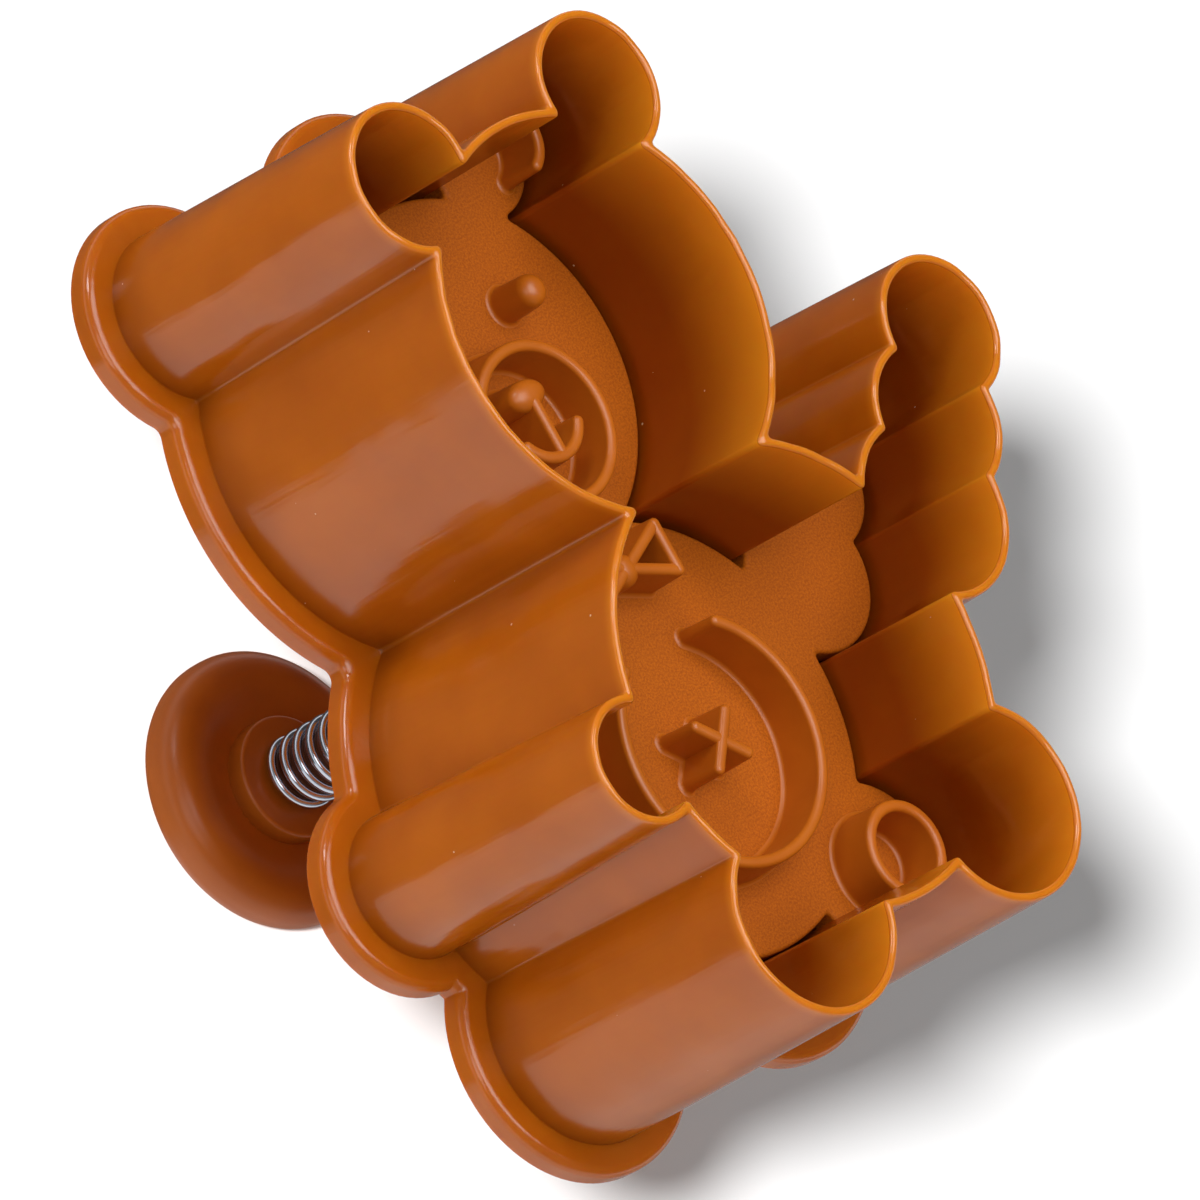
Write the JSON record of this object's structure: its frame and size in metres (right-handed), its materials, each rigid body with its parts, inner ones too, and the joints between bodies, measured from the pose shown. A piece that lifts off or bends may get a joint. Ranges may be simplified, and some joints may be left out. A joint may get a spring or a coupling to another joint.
{
  "type": "plunger cookie cutter",
  "caption": "Bear-shaped cookie cutter with a tall lobed wall that slides over a ribbed stamp on a sprung stem with a mushroom push knob.",
  "frame": {"origin": "centre of the knob's flat end face, on the stem's axis", "axes": "+Z along the stem from the knob to the cutting edge, +Y from the figure's feet to its ears, +X towards its raised paw"},
  "size_m": [0.0703, 0.084, 0.06],
  "materials": {
    "cutter_plastic": "glossy moulded caramel plastic",
    "stamp_plastic": "matt, finely grained caramel plastic",
    "knob_plastic": "satin moulded brown plastic",
    "spring_steel": "bright drawn spring wire"
  },
  "bodies": {
    "plunger": {"push_knob": "knob_plastic", "plunger_stem": "stamp_plastic", "return_spring": "spring_steel", "stamp_plate": "stamp_plastic"},
    "shell": {"cutter_shell": "cutter_plastic"}
  },
  "joints": [
    {"name": "press_slide", "type": "slide", "parent": "plunger", "child": "shell", "axis": [0, 0, -1], "range_m": [0, 0.015], "stiffness_N_per_m": 300, "springref_m": -0.005, "deforming": ["return_spring"]}
  ]
}
